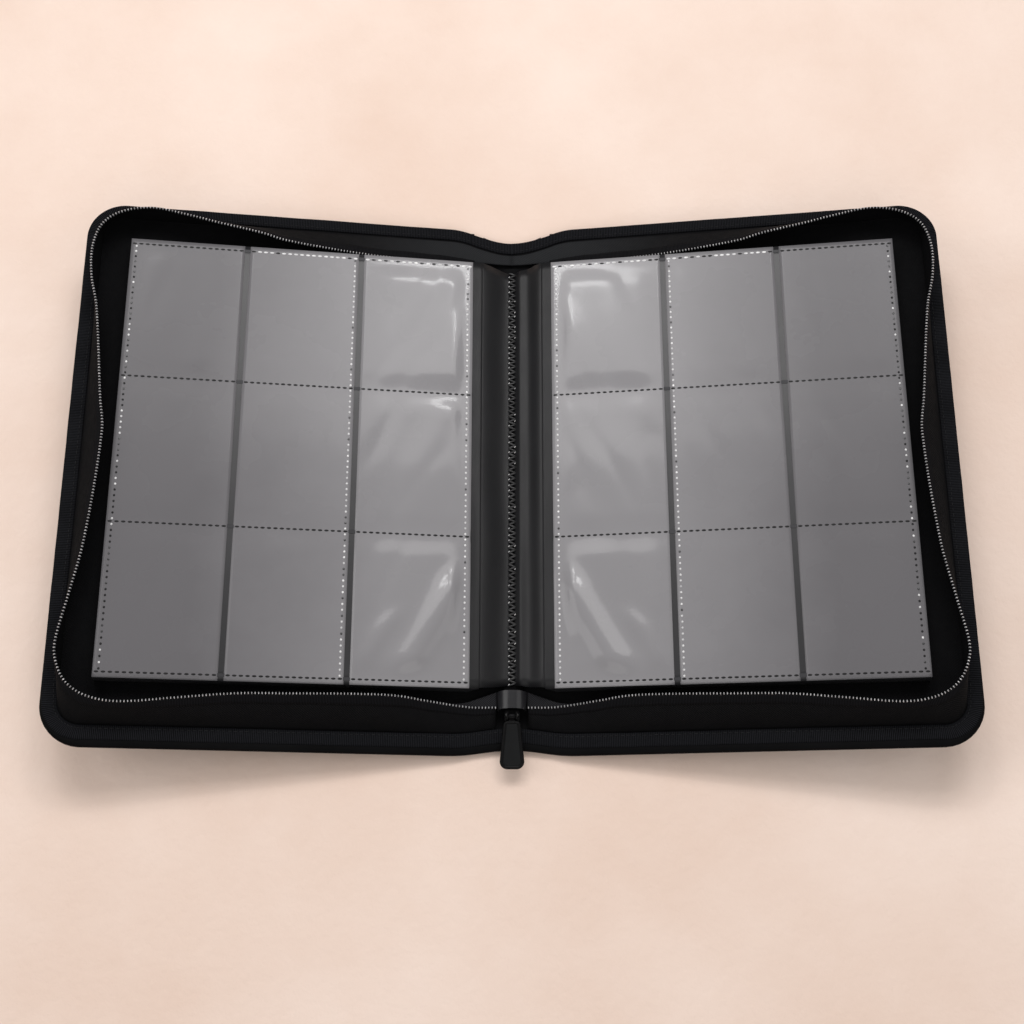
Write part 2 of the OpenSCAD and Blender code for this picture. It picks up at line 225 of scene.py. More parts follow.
def tape_insets(s):
    """How far in the binding tape's outer and inner edges lie at s: it is set in further at the foot."""
    foot = 1 - smooth((s - STRAIGHT + 8) / (ARC + 30))
    head = smooth((s - STRAIGHT - ARC - SIDE + 8) / (ARC + 20))
    outer = 4.2 * foot + 0.2 * (1 - foot)
    inner = 13.2 * foot + 9.6 * (1 - foot) - 1.2 * head
    return outer, inner


def spaced(low, high, step):
    """Evenly spaced values from low to high, about step apart."""
    count = max(1, round((high - low) / step))
    return [low + (high - low) * i / count for i in range(count + 1)]


def spline(rows, t):
    """Catmull-Rom through rows whose first number is the parameter."""
    i = 0
    while i < len(rows) - 2 and t > rows[i + 1][0]:
        i += 1
    p1, p2 = rows[i], rows[i + 1]
    p0 = rows[max(0, i - 1)]
    p3 = rows[min(len(rows) - 1, i + 2)]
    h = p2[0] - p1[0]
    f = min(1.0, max(0.0, (t - p1[0]) / h))
    out = []
    for k in range(1, len(p1)):
        m1 = (p2[k] - p0[k]) / max(p2[0] - p0[0], 1e-6) * h
        m2 = (p3[k] - p1[k]) / max(p3[0] - p1[0], 1e-6) * h
        out.append(
            (2 * f**3 - 3 * f**2 + 1) * p1[k] + (f**3 - 2 * f**2 + f) * m1
            + (-2 * f**3 + 3 * f**2) * p2[k] + (f**3 - f**2) * m2
        )
    return out


# How the zip's edge falls: distance along the cover's edge, then its place across, its place
# along from the page's middle, and its height
ZIP_ROWS = [
    (9, 9, -155.1, 11.9), (30, 30, -154.8, 12.2), (55, 55, -152.6, 17), (73, 73, -150.8, 20.5),
    (100, 100, -150.9, 22.5), (137, 137, -151.8, 22.7), (166, 166, -152.6, 22.7), (200, 200, -156, 22.7),
    (229, 228, -159, 22.7), (247, 243, -158.5, 22.7), (264, 256, -154.5, 22.7), (284, 265.5, -146.5, 22.7),
    (306, 271, -134, 22.7), (324, 271.5, -123, 22.7), (353, 267, -98, 22.7), (388, 261, -63, 22.7),
    (458, 256.5, 7, 22.7), (481, 259.5, 30, 22.7), (542, 267, 91, 22.7), (564, 272, 113, 22.7),
    (585, 273, 133, 22.7), (606, 268.5, 149, 22.7), (625, 258, 158.5, 22.7), (651, 238.5, 163.5, 22.7),
    (677, 217, 160.5, 22.7), (700, 196, 156.5, 22.2), (729, 167, 152.3, 20), (745, 152, 149.6, 17.5),
    (792, 104, 146.2, 13), (836, 60, 145.2, 10.2), (866, 30, 144.8, 8.2), (EDGE_L, 0, 144.5, 6.5),
]
ZIP_LINE = [(s, a, y + PAGE_Y, w) for s, a, y, w in ZIP_ROWS]
TEETH_END = EDGE_L - 56


# ---- meshes ----

def to_mesh(name, verts, faces, mat, uvs=None, smooth_shade=True):
    """Makes an object from points in millimetres."""
    mesh = bpy.data.meshes.new(name)
    mesh.from_pydata([tuple(c * MM for c in v) for v in verts], [], faces)
    if uvs:
        layer = mesh.uv_layers.new(name="Weave")
        for loop in mesh.loops:
            layer.data[loop.index].uv = uvs[loop.vertex_index]
    mesh.materials.append(mat)
    for p in mesh.polygons:
        p.use_smooth = smooth_shade
    obj = bpy.data.objects.new(name, mesh)
    bpy.context.scene.collection.objects.link(obj)
    bm = bmesh.new()
    bm.from_mesh(mesh)
    bmesh.ops.recalc_face_normals(bm, faces=bm.faces)
    bm.to_mesh(mesh)
    bm.free()
    return obj


def loft(name, rings, mat, closed=True, caps=True):
    """Joins rings of points; UVs run along the rings' path and round each ring, in metres."""
    n = len(rings[0])
    verts = [p for ring in rings for p in ring]
    uvs = []
    along = 0.0
    for i, ring in enumerate(rings):
        if i:
            along += (sum(ring, Vector()) / n - sum(rings[i - 1], Vector()) / n).length
        across = 0.0
        for j, p in enumerate(ring):
            if j:
                across += (p - ring[j - 1]).length
            uvs.append((along * MM, across * MM))
    faces = []
    for i in range(len(rings) - 1):
        for j in range(n if closed else n - 1):
            k = (j + 1) % n
            faces.append((i * n + j, i * n + k, (i + 1) * n + k, (i + 1) * n + j))
    if caps and closed:
        faces.append(tuple(reversed(range(n))))
        faces.append(tuple((len(rings) - 1) * n + j for j in range(n)))
    return to_mesh(name, verts, faces, mat, uvs)


def shell(name, rows, thickness, normal, mat):
    """A closed thin sheet: a grid of points and the same grid moved back along normal."""
    back = [[p - normal * thickness for p in row] for row in rows]
    rings = [row + list(reversed(below)) for row, below in zip(rows, back)]
    return loft(name, rings, mat)


def join(name, parts):
    """Joins objects into the first one."""
    with bpy.context.temp_override(
        active_object=parts[0], selected_editable_objects=parts, selected_objects=parts
    ):
        bpy.ops.object.join()
    parts[0].name = name
    return parts[0]


class Solids:
    """Gathers many small convex solids into one mesh."""

    def __init__(self):
        self.verts = []
        self.faces = []

    def ring_solid(self, rings):
        """Adds a closed solid through rings of the same number of points."""
        base = len(self.verts)
        n = len(rings[0])
        for ring in rings:
            self.verts.extend(ring)
        for i in range(len(rings) - 1):
            for j in range(n):
                k = (j + 1) % n
                self.faces.append((base + i * n + j, base + i * n + k,
                                   base + (i + 1) * n + k, base + (i + 1) * n + j))
        self.faces.append(tuple(base + j for j in reversed(range(n))))
        last = base + (len(rings) - 1) * n
        self.faces.append(tuple(last + j for j in range(n)))

    def build(self, name, mat, smooth_shade=True):
        return to_mesh(name, self.verts, self.faces, mat, None, smooth_shade)


def capsule_rings(start, end, up, radius, height, sides=6):
    """Rings of a stitch that lies from start to end, bowed up in the middle."""
    axis = (end - start).normalized()
    across = axis.cross(up).normalized()
    rings = []
    for t, swell in ((0, 0.35), (0.18, 0.9), (0.5, 1.0), (0.82, 0.9), (1, 0.35)):
        centre = start.lerp(end, t) + up * height * math.sin(math.pi * t)
        rings.append([
            centre + (across * math.cos(q) + up * math.sin(q)) * radius * swell
            for q in turn(sides)
        ])
    return rings


# ---- the page's layout ----

def columns():
    """Low and high edges of the three film columns."""
    out = []
    for c in range(3):
        low = GUTTER_W + c * POCKET_W + (SLOT_W / 2 if c else 0)
        high = GUTTER_W + (c + 1) * POCKET_W - (SLOT_W / 2 if c < 2 else 0)
        out.append((low, high))
    return out


def weld_lines():
    """Places of the three welded lines of dots that run up the page."""
    (low0, _), (low1, _), (_, high2) = columns()
    return [low0 + WELD_INSET, low1 + WELD_INSET - 1, high2 - WELD_INSET]


def row_lines():
    half = PAGE_H / 2
    return [-half + WELD_INSET, -half + POCKET_H, half - POCKET_H, half - WELD_INSET]


# ---- materials ----

class Mat:
    """A Principled material with short calls for its nodes."""

    def __init__(self, name, colour, rough, metal=0.0, **sockets):
        self.mat = bpy.data.materials.new(name)
        self.mat.use_nodes = True
        self.tree = self.mat.node_tree
        self.shader = self.tree.nodes["Principled BSDF"]
        self.shader.inputs["Base Color"].default_value = (*colour, 1)
        self.shader.inputs["Roughness"].default_value = rough
        self.shader.inputs["Metallic"].default_value = metal
        for key, value in sockets.items():
            self.shader.inputs[key.replace("_", " ")].default_value = value
        self.height = None

    def node(self, kind, **values):
        n = self.tree.nodes.new(kind)
        for key, value in values.items():
            if hasattr(n, key):
                setattr(n, key, value)
            else:
                n.inputs[key.replace("_", " ")].default_value = value
        return n

    def link(self, a, b):
        self.tree.links.new(a, b)

    def place(self):
        return self.node("ShaderNodeTexCoord").outputs["Object"]

    def weave_place(self):
        return self.node("ShaderNodeUVMap", uv_map="Weave").outputs[0]

    def math(self, operation, a, b=None):
        n = self.node("ShaderNodeMath", operation=operation)
        for socket, value in zip(n.inputs, (a, b)):
            if value is None:
                continue
            if isinstance(value, (int, float)):
                socket.default_value = value
            else:
                self.link(value, socket)
        return n.outputs[0]

    def axes(self, where):
        """The X, Y and Z outputs of a place."""
        n = self.node("ShaderNodeSeparateXYZ")
        self.link(where, n.inputs[0])
        return n.outputs

    def noise(self, scale, detail=3, rough=0.5):
        n = self.node("ShaderNodeTexNoise", Scale=scale, Detail=detail, Roughness=rough)
        self.link(self.place(), n.inputs["Vector"])
        return n.outputs["Fac"]

    def cells(self, scale):
        n = self.node("ShaderNodeTexVoronoi", Scale=scale)
        self.link(self.place(), n.inputs["Vector"])
        return n.outputs["Distance"]

    def stripes(self, where, direction, pitch):
        """A rounded rise and fall between 0 and 1, once each pitch, along direction."""
        dot = self.node("ShaderNodeVectorMath", operation="DOT_PRODUCT")
        self.link(where, dot.inputs[0])
        dot.inputs[1].default_value = direction
        turns = self.math("MULTIPLY", dot.outputs["Value"], 2 * math.pi / pitch)
        wave = self.math("SINE", turns)
        return self.math("ADD", self.math("MULTIPLY", wave, 0.5), 0.5)

    def ramp(self, value, stops):
        n = self.node("ShaderNodeValToRGB")
        self.link(value, n.inputs[0])
        elements = n.color_ramp.elements
        while len(elements) < len(stops):
            elements.new(0.5)
        for e, (place, colour) in zip(elements, stops):
            e.position = place
            e.color = (*colour, 1)
        return n.outputs[0]

    def range(self, value, low, high):
        n = self.node("ShaderNodeMapRange")
        self.link(value, n.inputs["Value"])
        n.inputs["To Min"].default_value = low
        n.inputs["To Max"].default_value = high
        return n.outputs[0]

    def share(self, value, start, end, kind="LINEAR"):
        """0 where value is start, 1 where it is end."""
        n = self.node("ShaderNodeMapRange", interpolation_type=kind)
        self.link(value, n.inputs["Value"])
        n.inputs["From Min"].default_value = start
        n.inputs["From Max"].default_value = end
        return n.outputs[0]

    def blend(self, share, low):
        """A mix of colours: low where share is 0. Returns the node, whose second colour is input 7."""
        n = self.node("ShaderNodeMix", data_type="RGBA")
        self.link(share, n.inputs["Factor"])
        self.link(low, n.inputs[6])
        return n

    def colour(self, value, low, high):
        self.link(self.ramp(value, [(0.25, low), (0.75, high)]), self.shader.inputs["Base Color"])

    def roughness(self, value, low, high):
        self.link(self.range(value, low, high), self.shader.inputs["Roughness"])

    def bump(self, value, distance, strength=1.0):
        n = self.node("ShaderNodeBump", Strength=strength, Distance=distance)
        self.link(value, n.inputs["Height"])
        if self.height:
            self.link(self.height, n.inputs["Normal"])
        self.height = n.outputs[0]
        self.link(self.height, self.shader.inputs["Normal"])


def grained_leather():
    m = Mat("grained_leather", (0.003, 0.003, 0.0033), 0.5, Specular_IOR_Level=0.05)
    grain = m.cells(900)
    m.bump(grain, 0.00015, 0.6)
    m.bump(m.noise(160, 4), 0.0002, 0.4)
    m.colour(m.noise(25, 4), (0.0013, 0.0013, 0.0015), (0.0035, 0.0035, 0.004))
    m.roughness(m.noise(120, 5), 0.45, 0.65)
    return m.mat


def ribbed_tape():
    m = Mat("ribbed_tape", (0.01, 0.01, 0.011), 0.75, Specular_IOR_Level=0.05)
    where = m.weave_place()
    ribs = m.stripes(where, (1, 0, 0), RIB_PITCH * MM)
    threads = m.stripes(where, (0, 1, 0), 0.45 * MM)
    fuzz = m.noise(1400, 3)
    body = m.math("MULTIPLY", ribs, m.math("ADD", m.math("MULTIPLY", fuzz, 0.8), 0.4))
    m.colour(body, (0.0006, 0.0006, 0.0008), (0.016, 0.0167, 0.02))
    m.roughness(m.noise(300, 3), 0.62, 0.9)
    m.bump(threads, 0.00006, 0.5)
    m.bump(fuzz, 0.0001, 0.5)
    return m.mat


def head_highlight_share(m):
    """How near a point of the gusset's path is to the head end of the spine, from 0 to 1; it sets the share
    of painted highlight there.
    """
    return m.share(m.axes(m.weave_place())["X"], HEAD_LIT_FROM, HEAD_LIT_TO, "SMOOTHSTEP")


def twill(name, low, high, pitch, shine=0.1, head=None):
    """Diagonal weave; head is the lighter tone of a painted highlight at the head of the spine."""
    m = Mat(name, high, 0.8, Specular_IOR_Level=shine)
    where = m.weave_place()
    lines = m.stripes(where, (0.7071, 0.7071, 0), pitch * MM)
    yarns = m.stripes(where, (0.7071, -0.7071, 0), 0.5 * pitch * MM)
    cloth = m.math("MULTIPLY", lines, m.math("ADD", m.math("MULTIPLY", yarns, 0.4), 0.6))
    weave_tone = m.math("ADD", m.math("MULTIPLY", cloth, 0.75), m.math("MULTIPLY", m.noise(90, 3), 0.3))
    m.colour(weave_tone, low, high)
    # Painted highlight: the cloth turns lighter towards the head end of the spine
    if head:
        blend = m.blend(head_highlight_share(m), m.ramp(weave_tone, [(0.25, low), (0.75, high)]))
        m.link(m.ramp(weave_tone, [(0.2, tuple(c * 0.75 for c in head)), (0.8, head)]), blend.inputs[7])
        m.link(blend.outputs[2], m.shader.inputs["Base Color"])
    m.roughness(m.noise(200, 3), 0.68, 0.92)
    m.bump(cloth, 0.00025, 0.8)
    m.bump(m.noise(60, 3), 0.0006, 0.4)
    return m.mat


def zip_tape_cloth():
    m = Mat("zip_tape_cloth", (0.006, 0.006, 0.007), 0.8, Specular_IOR_Level=0.06)
    where = m.weave_place()
    rows = m.stripes(where, (1, 0, 0), 0.9 * MM)
    m.colour(rows, (0.002, 0.002, 0.0023), (0.008, 0.008, 0.0095))
    m.roughness(m.noise(240, 3), 0.65, 0.9)
    m.bump(rows, 0.0002, 0.7)
    return m.mat


def silver_teeth():
    m = Mat("silver_teeth", (0.6, 0.6, 0.62), 0.3, 0.6, Specular_IOR_Level=0.6)
    m.colour(m.noise(420, 3), (0.3, 0.3, 0.31), (0.85, 0.85, 0.87))
    m.roughness(m.noise(300, 2), 0.22, 0.45)
    return m.mat


def dark_sheet():
    m = Mat("dark_sheet", (0.03, 0.03, 0.033), 0.5, Specular_IOR_Level=0.3)
    m.colour(m.noise(14, 4), (0.022, 0.022, 0.025), (0.038, 0.038, 0.042))
    m.roughness(m.noise(40, 4), 0.42, 0.6)
    m.bump(m.cells(1500), 0.00005, 0.3)
    m.bump(m.noise(9, 3), 0.0012, 0.25)
    return m.mat


def gutter_sheet():
    m = Mat("gutter_sheet", (0.012, 0.012, 0.014), 0.42, Specular_IOR_Level=0.32)
    where = m.weave_place()
    lines = m.stripes(where, (0.7071, 0.7071, 0), 0.9 * MM)
    cloth = m.math("ADD", m.math("MULTIPLY", lines, 0.5), m.math("MULTIPLY", m.noise(16, 4), 0.5))
    m.colour(cloth, (0.0022, 0.0022, 0.0026), (0.0085, 0.0085, 0.0105))
    m.roughness(m.noise(60, 3), 0.36, 0.5)
    m.bump(lines, 0.0001, 0.6)
    return m.mat


def pocket_film():
    """Hazy film, glossier towards the spine; its grey is partly its own haze and partly painted reflection,
    and its colour lightens towards the spine as a painted highlight.
    """
    m = Mat("pocket_film", (0.14, 0.137, 0.146), 0.3, Specular_IOR_Level=0.12,
            Coat_Weight=0.3, Coat_Roughness=0.1)
    # Painted highlight: share rises towards the spine and lightens the film's colour
    share = m.share(m.math("ABSOLUTE", m.axes(m.place())["X"]), FILM_LEAST_LIT_X, FILM_MOST_LIT_X)
    cloud = m.math("MULTIPLY", m.noise(11, 5, rough=0.6), 0.3)
    haze = m.math("ADD", cloud, m.math("MULTIPLY", share, 0.7))
    m.colour(haze, (0.137, 0.133, 0.141), (0.25, 0.245, 0.256))
    m.link(m.math("ADD", m.math("MULTIPLY", share, 0.3), 0.05), m.shader.inputs["Coat Weight"])
    m.roughness(m.noise(22, 4), 0.2, 0.34)
    m.bump(m.noise(14, 2), 0.0014, 0.2)
    m.bump(m.noise(900, 2), 0.00002, 0.3)
    return m.mat


def pocket_page():
    """A leaf of flat pockets: grey film, partly painted reflection, dark bars between columns, welds as
    dots and dashes, the dots pale as painted highlights.
    """
    m = Mat("pocket_page", (0.12, 0.12, 0.126), 0.34, Specular_IOR_Level=0.4)
    axes = m.axes(m.place())
    out = m.math("SUBTRACT", m.math("ABSOLUTE", axes["X"]), FOLD_X * MM)
    over = m.math("SUBTRACT", axes["Z"], FOLD_Z * MM)
    u = m.math("ADD", m.math("MULTIPLY", out, math.cos(TILT)), m.math("MULTIPLY", over, math.sin(TILT)))
    y = m.math("ABSOLUTE", m.math("SUBTRACT", axes["Y"], (BOOK_Y + PAGE_Y) * MM))

    def near(value, place, reach):
        return m.math("LESS_THAN", m.math("ABSOLUTE", m.math("SUBTRACT", value, place * MM)), reach * MM)

    def beat(value, pitch, share):
        return m.math("LESS_THAN", m.math("PINGPONG", value, pitch * MM / 2), share * pitch * MM / 2)

    edges = m.math("GREATER_THAN", y, (PAGE_H / 2 - 0.4) * MM)
    edges = m.math("MAXIMUM", edges, m.math("GREATER_THAN", u, (PAGE_END - 0.4) * MM))
    bars = m.math("MAXIMUM", edges, near(u, 0, GUTTER_W))
    for c in (1, 2):
        bars = m.math("MAXIMUM", bars, near(u, GUTTER_W + c * POCKET_W, SLOT_W / 2))
    rows = m.math("MAXIMUM", near(y, row_lines()[2], 0.6), near(y, row_lines()[3], 0.6))
    dashes = m.math("MAXIMUM", bars, m.math("MULTIPLY", rows, beat(u, DASH_PITCH, 0.66)))
    lines = weld_lines()
    dots = m.math("MAXIMUM", near(u, lines[0], 0.65), near(u, lines[1], 0.65))
    dots = m.math("MULTIPLY", dots, beat(y, DOT_PITCH, 0.4))
    # The film's grey is partly its own haze and partly painted reflection
    haze = m.ramp(m.noise(11, 5, rough=0.6), [(0.25, (0.105, 0.102, 0.111)), (0.75, (0.155, 0.151, 0.162))])
    dots = m.math("MULTIPLY", dots, m.math("SUBTRACT", 1.0, edges))
    # Pale dots: painted highlights on the welds
    for mask, colour in ((dashes, (0.02, 0.02, 0.022, 1)), (dots, (0.6, 0.6, 0.61, 1))):
        blend = m.blend(mask, haze)
        blend.inputs[7].default_value = colour
        haze = blend.outputs[2]
    m.link(haze, m.shader.inputs["Base Color"])
    m.roughness(m.noise(22, 4), 0.26, 0.42)
    m.bump(m.noise(14, 3), 0.0014, 0.25)
    return m.mat


def weld_material(name, low, high, rough, shine):
    m = Mat(name, high, rough, Specular_IOR_Level=shine)
    m.colour(m.noise(260, 2), low, high)
    m.roughness(m.noise(180, 2), rough * 0.8, rough * 1.3)
    return m.mat


def stitch_thread():
    m = Mat("stitch_thread", (0.01, 0.01, 0.011), 0.3, Specular_IOR_Level=0.6)
    m.colour(m.noise(330, 3), (0.003, 0.003, 0.0035), (0.03, 0.03, 0.032))
    m.roughness(m.noise(300, 2), 0.2, 0.45)
    return m.mat


def black_thread():
    m = Mat("black_thread", (0.006, 0.006, 0.007), 0.6, Specular_IOR_Level=0.2)
    m.colour(m.noise(600, 3), (0.003, 0.003, 0.0035), (0.014, 0.014, 0.016))
    m.roughness(m.noise(300, 2), 0.5, 0.75)
    return m.mat


def moulded(name, colour, rough, coat=0.0, grain=0.00002, shine=0.3):
    m = Mat(name, colour, rough, Specular_IOR_Level=shine, Coat_Weight=coat, Coat_Roughness=0.12)
    m.colour(m.noise(35, 4), tuple(c * 0.75 for c in colour), tuple(c * 1.3 for c in colour))
    m.roughness(m.noise(90, 4), rough * 0.85, rough * 1.2)
    m.bump(m.noise(2400, 2), grain, 0.5)
    return m.mat


def foam_material():
    """Black, so that its corners show less where they reach the skin's edge at the hinges."""
    m = Mat("black_foam", (0.006, 0.006, 0.007), 0.9, Specular_IOR_Level=0.1)
    m.colour(m.noise(400, 4), (0.003, 0.003, 0.0034), (0.009, 0.009, 0.01))
    m.bump(m.cells(1800), 0.0003, 0.7)
    return m.mat


def board_material():
    """Black for the same reason as the foam."""
    m = Mat("black_board", (0.006, 0.006, 0.007), 0.9, Specular_IOR_Level=0.1)
    m.colour(m.noise(500, 5), (0.003, 0.003, 0.0034), (0.009, 0.009, 0.01))
    m.bump(m.noise(900, 4), 0.0001, 0.6)
    return m.mat


LEATHER = grained_leather()
TAPE = ribbed_tape()
# The gusset's lighter head tone is a painted highlight at the head of the spine.
GUSSET = twill("gusset_twill", (0.0014, 0.0014, 0.0016), (0.0055, 0.0055, 0.0066), 1.1,
               head=(0.02, 0.021, 0.023))
GORE = twill("gore_twill", (0.004, 0.004, 0.0045), (0.03, 0.03, 0.034), 1.0)
LINING = twill("lining_cloth", (0.0015, 0.0015, 0.0018), (0.005, 0.005, 0.006), 0.7)
ZIP_TAPE = zip_tape_cloth()
TEETH = silver_teeth()
SHEET = dark_sheet()
GUTTER = gutter_sheet()
FILM = pocket_film()
PAGE = pocket_page()
# Pale weld marks and thread glints are painted highlights.
HIGHLIGHT_PAINT = weld_material("highlight_paint", (0.4, 0.4, 0.41), (0.85, 0.85, 0.85), 0.3, 0.6)
WELD_DARK = weld_material("weld_dark", (0.003, 0.003, 0.0035), (0.012, 0.012, 0.013), 0.5, 0.25)
WELD_GREY = weld_material("weld_grey", (0.005, 0.005, 0.006), (0.05, 0.05, 0.053), 0.3, 0.6)
THREAD = stitch_thread()
BLACK_THREAD = black_thread()
CAP = moulded("satin_cap", (0.016, 0.016, 0.018), 0.32, 0.15)
SLIDER = moulded("black_slider", (0.0015, 0.0015, 0.0018), 0.35, shine=0.1)
POSTS = moulded("glossy_posts", (0.002, 0.002, 0.0022), 0.12, 0.5, shine=0.6)
PULL = moulded("matt_pull", (0.0025, 0.0025, 0.0028), 0.4, 0.0, 0.00004, shine=0.12)
PULL_PANEL = moulded("pull_panel", (0.009, 0.0095, 0.01), 0.5, 0.0, 0.00004, shine=0.1)


def hinge_blend(obj):
    """Bakes the placement of a piece that wraps the spine into its mesh."""
    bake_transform(obj)


# ---- stage, light and camera ----

def make_floor():
    m = Mat("pale_floor", (0.8, 0.62, 0.5), 0.9, Specular_IOR_Level=0.1)
    m.colour(m.noise(3.2, 6, rough=0.6), (0.76, 0.58, 0.48), (0.92, 0.78, 0.70))
    m.bump(m.noise(160, 6), 0.0012, 0.5)
    bpy.ops.mesh.primitive_plane_add(size=8, location=(0, 0.6, 0))
    floor = bpy.context.object
    floor.name = "floor"
    floor.data.materials.append(m.mat)


def area_light(name, place, target, size, power, colour):
    data = bpy.data.lights.new(name, "AREA")
    data.shape = "RECTANGLE"
    data.size, data.size_y = size
    data.energy = power
    data.color = colour
    light = bpy.data.objects.new(name, data)
    light.location = place
    light.rotation_euler = (Vector(target) - Vector(place)).to_track_quat("-Z", "Y").to_euler()
    bpy.context.scene.collection.objects.link(light)


def make_lights():
    area_light("key", (0, 0.86, 1.35), (0, 0.05, 0), (1.5, 0.62), 13, (1, 0.98, 0.97))
    area_light("fill", (0.1, -1.2, 1.5), (0, 0, 0), (1.9, 1.0), 9, (1, 0.98, 0.96))
    area_light("left", (-1.3, 0.1, 1.0), (0, 0, 0), (0.7, 1.1), 6, (1, 0.98, 0.97))
    area_light("right", (1.4, 0.0, 1.0), (0, 0, 0), (0.7, 1.1), 3, (1, 0.98, 0.97))
    for x in (-0.31, 0.31):
        area_light("glint", (x, 0.93, 1.35), (-0.2 * x, 0.15, 0.03), (0.3, 0.1), 1.8, (1, 1, 1))
    world = bpy.data.worlds.new("studio")
    world.use_nodes = True
    world.node_tree.nodes["Background"].inputs[0].default_value = (1, 0.98, 0.96, 1)
    world.node_tree.nodes["Background"].inputs[1].default_value = 0.28
    bpy.context.scene.world = world
    bpy.context.scene.view_settings.view_transform = "Standard"


def make_camera():
    data = bpy.data.cameras.new("camera")
    data.lens = 51.86
    data.sensor_width = 36
    camera = bpy.data.objects.new("camera", data)
    camera.location = (0, (BOOK_Y + PAGE_Y) * MM - 0.32697, 0.8959)
    camera.rotation_euler = (math.radians(18.57), 0, 0)
    bpy.context.scene.collection.objects.link(camera)
    bpy.context.scene.camera = camera


# ---- covers: outer skin, lining, binding ----

def skin(side):
    """The padded outer skin of half the book, wrapped up round the edge."""
    section = [
        (6.5, LINING_W - 0.1), (4.6, LINING_W + 0.05), (2.6, LINING_W + 0.1), (1.2, LINING_W - 0.05),
        (0.35, LINING_W - 0.7), (0, 3.0), (0, 1.4),
        (0.35, 0.35), (1.1, -0.3), (2.4, -0.6), (5, -0.6), (6.2, -0.35), (7.4, -0.6), (16, -0.6),
    ]
    stations = spaced(0, EDGE_L, 4)
    rows = []
    for s in stations:
        row = []
        for inset, w in section:
            a, y = edge(s, inset)
            row.append(on_book(side, a, y, w))
        rows.append(row)
    n = len(section)
    verts = [p for row in rows for p in row]
    faces = []
    for i in range(len(rows) - 1):
        for j in range(n - 1):
            faces.append((i * n + j, i * n + j + 1, (i + 1) * n + j + 1, (i + 1) * n + j))
    # The field inside the last ring is filled with rows that run across the book
    inner = [i * n + n - 1 for i in range(len(rows))]
    foot = [i for i in inner if stations[i // n] <= STRAIGHT]
    head = [i for i in reversed(inner) if EDGE_L - stations[i // n] <= STRAIGHT]
    middle = 24
    field = []
    for c in range(min(len(foot), len(head))):
        lo, hi = verts[foot[c]], verts[head[c]]
        column = [foot[c]]
        for k in range(1, middle):
            verts.append(lo.lerp(hi, k / middle))
            column.append(len(verts) - 1)
        column.append(head[c])
        field.append(column)
    for here, beyond in zip(field, field[1:]):
        for k in range(middle):
            faces.append((here[k], here[k + 1], beyond[k + 1], beyond[k]))
    rest = inner[foot[-1] // n:head[-1] // n + 1]
    faces.append(tuple(rest + list(reversed(field[-1][1:-1]))))
    obj = to_mesh(f"{cover_name(side)}_outer_skin", verts, faces, LEATHER)
    solid = obj.modifiers.new("thickness", "SOLIDIFY")
    solid.thickness = 0.5 * MM
    solid.offset = -1
    hinge_blend(obj)
    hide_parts(f"{cover_name(side)}_cover_skin", "spine_skin")


def skin_stitches(side):
    """Row of stitches sewn through the skin, seen on the outside of the cover."""
    solids = Solids()
    for s in spaced(14, EDGE_L - 14, 4.2):
        start, end = (on_book(side, *edge(s + along, SKIN_SEAM), SKIN_SEAM_W) for along in (-1.4, 1.4))
        solids.ring_solid(capsule_rings(start, end, Vector((0, 0, -1)), 0.32, 0.05))
    obj = solids.build(f"{cover_name(side)}_skin_stitches", BLACK_THREAD)
    hinge_blend(obj)


def lining(side):
    """The lining cloth laid over the boards and across the hinge."""
    rows = []
    for a in spaced(0, HALF_W - LINING_TRIM, 4):
        over = max(0.0, a - STRAIGHT)
        trim = CORNER_R - math.sqrt(max(0.0, CORNER_R**2 - over**2)) if over else 0.0
        low = -HALF_H + LINING_TRIM + trim + foot_dip(a)
        high = HALF_H - LINING_TRIM - trim - head_dip(a)
        row = []
        for k in range(57):
            y = mix(low, high, k / 56)
            ripple = 0.22 * noise.noise(Vector((a * 0.03, y * 0.03, 3.7 * side_sign(side))))
            row.append(on_book(side, a, y, LINING_W - 0.25 + ripple))
        rows.append(row)
    obj = shell(f"{cover_name(side)}_lining_cloth", rows, 0.4, Vector((0, 0, 1)), LINING)
    hinge_blend(obj)
    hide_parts(f"{cover_name(side)}_cover_lining", "spine_lining")


def binding(side):
    """The ribbed tape that covers the raw edge, one rise and fall for each rib."""
    name = cover_name(side)
    steps = int(EDGE_L / RIB_PITCH * 2)
    # Share of the way from the outer to the inner edge, height, and how much of the rib shows
    section = [
        (1.0, LINING_W + 0.05, 0), (0.97, TAPE_TOP - 0.35, 0.5), (0.9, TAPE_TOP - 0.08, 1),
        (0.62, TAPE_TOP, 1), (0.35, TAPE_TOP + 0.02, 1), (0.12, TAPE_TOP - 0.06, 1),
        (0.03, TAPE_TOP - 0.3, 1), (0.0, TAPE_TOP - 0.65, 0.6), (0.02, LINING_W - 0.25, 0.2),
        (0.3, LINING_W - 0.1, 0),
    ]
    rings = []
    for i in range(steps + 1):
        s = EDGE_L * i / steps
        outer, inner = tape_insets(s)
        rib = 0.11 if i % 2 else -0.11
        wander = 0.18 * noise.noise(Vector((s * 0.05, 1.3, side_sign(side) * 2)))
        ring = []
        for share, w, shows in section:
            a, y = edge(s, mix(outer, inner, share) + wander)
            ring.append(on_book(side, a, y, w + rib * shows + 0.1 * wander))
        rings.append(ring)
    obj = loft(f"{name}_ribbed_binding", rings, TAPE)
    hinge_blend(obj)
    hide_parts(f"{name}_binding", "spine_binding_head", "spine_binding_foot")


